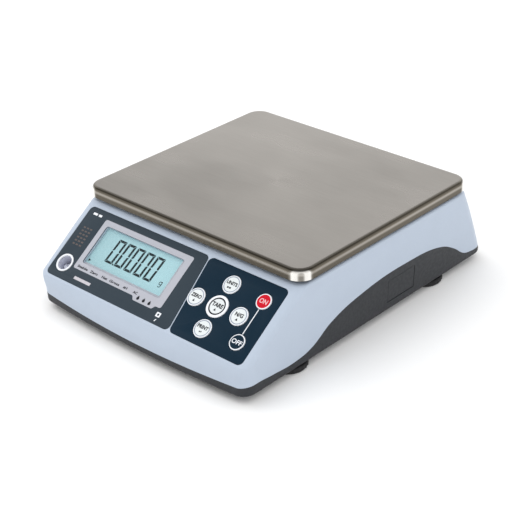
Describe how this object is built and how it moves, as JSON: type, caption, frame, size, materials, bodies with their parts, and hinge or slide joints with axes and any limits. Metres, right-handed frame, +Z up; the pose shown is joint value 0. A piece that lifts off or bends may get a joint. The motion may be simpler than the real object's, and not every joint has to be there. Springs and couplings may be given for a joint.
{
  "type": "counting scale",
  "caption": "Low bench-top counting scale: flat steel weighing pan over a plastic housing, sloping front panel with a display and round keys, levelling feet.",
  "frame": {"origin": "centre of the footprint, on the surface the feet stand on", "axes": "+Z up, -Y towards the user and the front panel, +X to the user's right"},
  "size_m": [0.279, 0.361, 0.104],
  "materials": {
    "pan_steel": "pressed stainless sheet, fine brushed, satin",
    "cast_aluminium": "die cast, slightly grainy",
    "cell_aluminium": "machined",
    "zinc_plated_steel": "zinc plated",
    "light_plastic": "moulded, fine satin texture, light blue-grey",
    "dark_plastic": "moulded, fine texture, dark slate",
    "window_print": "printed film, slate",
    "keypad_print": "printed film, navy",
    "clear_lens": "clear polished sheet",
    "lcd": "display glass, pale cyan, lit from behind",
    "light_guide": "milky",
    "circuit_board": "solder mask",
    "key_white": "printed film over a raised cap, white",
    "key_red": "printed film over a raised cap, red",
    "key_navy": "printed film over a raised cap, navy",
    "white_plastic": "moulded",
    "grey_plastic": "moulded",
    "vial": "clear vial with pale lavender-grey liquid",
    "battery_case": "moulded",
    "black_plastic": "moulded",
    "black_rubber": "matt",
    "grey_sheath": "cable sheath",
    "red_sheath": "cable sheath"
  },
  "bodies": {
    "base": {"base_plate": "zinc_plated_steel", "battery": "battery_case", "battery_lead": "red_sheath", "display_board": "circuit_board", "display_lens": "clear_lens", "display_window": "window_print", "fixed_end_bolt_front": "zinc_plated_steel", "fixed_end_bolt_rear": "zinc_plated_steel", "free_end_bolt_front": "zinc_plated_steel", "free_end_bolt_rear": "zinc_plated_steel", "housing_screw_front_left": "zinc_plated_steel", "housing_screw_front_right": "zinc_plated_steel", "housing_screw_rear_left": "zinc_plated_steel", "housing_screw_rear_right": "zinc_plated_steel", "keypad_board": "circuit_board", "keypad_overlay": "keypad_print", "lcd_backlight": "light_guide", "lcd_glass": "lcd", "level_cup": "grey_plastic", "level_ring": "white_plastic", "level_vial": "vial", "load_cell": "cell_aluminium", "load_cell_base": "cell_aluminium", "load_cell_lead": "grey_sheath", "load_cell_riser": "cell_aluminium", "lower_housing": "dark_plastic", "main_board": "circuit_board", "overload_stop": "zinc_plated_steel", "pan_cushion_front_left": "black_rubber", "pan_cushion_front_right": "black_rubber", "pan_cushion_rear_left": "black_rubber", "pan_cushion_rear_right": "black_rubber", "pan_support": "cast_aluminium", "power_socket": "black_plastic", "serial_socket": "zinc_plated_steel", "upper_housing": "light_plastic"},
    "pan": {"weighing_pan": "pan_steel"},
    "battery_door": {"battery_door": "dark_plastic"},
    "side_cover": {"side_cover": "dark_plastic"},
    "key_units": {"key_units": "key_white"},
    "key_zero": {"key_zero": "key_white"},
    "key_tare": {"key_tare": "key_white"},
    "key_net_gross": {"key_net_gross": "key_white"},
    "key_print": {"key_print": "key_white"},
    "key_on": {"key_on": "key_red"},
    "key_off": {"key_off": "key_navy"},
    "foot_stud_front_left": {"foot_stud_front_left": "zinc_plated_steel"},
    "foot_front_left": {"foot_front_left": "black_rubber"},
    "foot_stud_front_right": {"foot_stud_front_right": "zinc_plated_steel"},
    "foot_front_right": {"foot_front_right": "black_rubber"},
    "foot_stud_rear_left": {"foot_stud_rear_left": "zinc_plated_steel"},
    "foot_rear_left": {"foot_rear_left": "black_rubber"},
    "foot_stud_rear_right": {"foot_stud_rear_right": "zinc_plated_steel"},
    "foot_rear_right": {"foot_rear_right": "black_rubber"}
  },
  "joints": [
    {"name": "pan_lift_off", "type": "slide", "parent": "base", "child": "pan", "axis": [0, 0, 1], "range_m": [0, 0.08]},
    {"name": "key_units_press", "type": "slide", "parent": "base", "child": "key_units", "axis": [0, 0.5756, -0.8177], "range_m": [0, 0.0005], "stiffness_N_per_m": 800, "springref_m": -0.0005},
    {"name": "key_zero_press", "type": "slide", "parent": "base", "child": "key_zero", "axis": [0, 0.5756, -0.8177], "range_m": [0, 0.0005], "stiffness_N_per_m": 800, "springref_m": -0.0005},
    {"name": "key_tare_press", "type": "slide", "parent": "base", "child": "key_tare", "axis": [0, 0.5756, -0.8177], "range_m": [0, 0.0005], "stiffness_N_per_m": 800, "springref_m": -0.0005},
    {"name": "key_net_gross_press", "type": "slide", "parent": "base", "child": "key_net_gross", "axis": [0, 0.5756, -0.8177], "range_m": [0, 0.0005], "stiffness_N_per_m": 800, "springref_m": -0.0005},
    {"name": "key_print_press", "type": "slide", "parent": "base", "child": "key_print", "axis": [0, 0.5756, -0.8177], "range_m": [0, 0.0005], "stiffness_N_per_m": 800, "springref_m": -0.0005},
    {"name": "key_on_press", "type": "slide", "parent": "base", "child": "key_on", "axis": [0, 0.5756, -0.8177], "range_m": [0, 0.0005], "stiffness_N_per_m": 800, "springref_m": -0.0005},
    {"name": "key_off_press", "type": "slide", "parent": "base", "child": "key_off", "axis": [0, 0.5756, -0.8177], "range_m": [0, 0.0005], "stiffness_N_per_m": 800, "springref_m": -0.0005},
    {"name": "foot_front_left_extend", "type": "slide", "parent": "base", "child": "foot_stud_front_left", "axis": [0, 0, -1], "range_m": [0, 0.008]},
    {"name": "foot_front_left_turn", "type": "hinge", "parent": "foot_stud_front_left", "child": "foot_front_left", "pos_m": [-0.116, -0.1, 0], "axis": [0, 0, -1], "range_deg": [0, 2310]},
    {"name": "foot_front_right_extend", "type": "slide", "parent": "base", "child": "foot_stud_front_right", "axis": [0, 0, -1], "range_m": [0, 0.008]},
    {"name": "foot_front_right_turn", "type": "hinge", "parent": "foot_stud_front_right", "child": "foot_front_right", "pos_m": [0.116, -0.1, 0], "axis": [0, 0, -1], "range_deg": [0, 2310]},
    {"name": "foot_rear_left_extend", "type": "slide", "parent": "base", "child": "foot_stud_rear_left", "axis": [0, 0, -1], "range_m": [0, 0.008]},
    {"name": "foot_rear_left_turn", "type": "hinge", "parent": "foot_stud_rear_left", "child": "foot_rear_left", "pos_m": [-0.116, 0.103, 0], "axis": [0, 0, -1], "range_deg": [0, 2310]},
    {"name": "foot_rear_right_extend", "type": "slide", "parent": "base", "child": "foot_stud_rear_right", "axis": [0, 0, -1], "range_m": [0, 0.008]},
    {"name": "foot_rear_right_turn", "type": "hinge", "parent": "foot_stud_rear_right", "child": "foot_rear_right", "pos_m": [0.116, 0.103, 0], "axis": [0, 0, -1], "range_deg": [0, 2310]},
    {"name": "battery_door_swing", "type": "hinge", "parent": "base", "child": "battery_door", "pos_m": [0.083, 0.0636, 0.0072], "axis": [1, 0, 0], "range_deg": [0, 100]},
    {"name": "side_cover_pull_off", "type": "slide", "parent": "base", "child": "side_cover", "axis": [1, 0, 0], "range_m": [0, 0.02]}
  ],
  "couplings": [
    {"joint": "foot_front_left_turn", "follows": "foot_front_left_extend", "rad_per_m": 5026.5},
    {"joint": "foot_front_right_turn", "follows": "foot_front_right_extend", "rad_per_m": 5026.5},
    {"joint": "foot_rear_left_turn", "follows": "foot_rear_left_extend", "rad_per_m": 5026.5},
    {"joint": "foot_rear_right_turn", "follows": "foot_rear_right_extend", "rad_per_m": 5026.5}
  ]
}
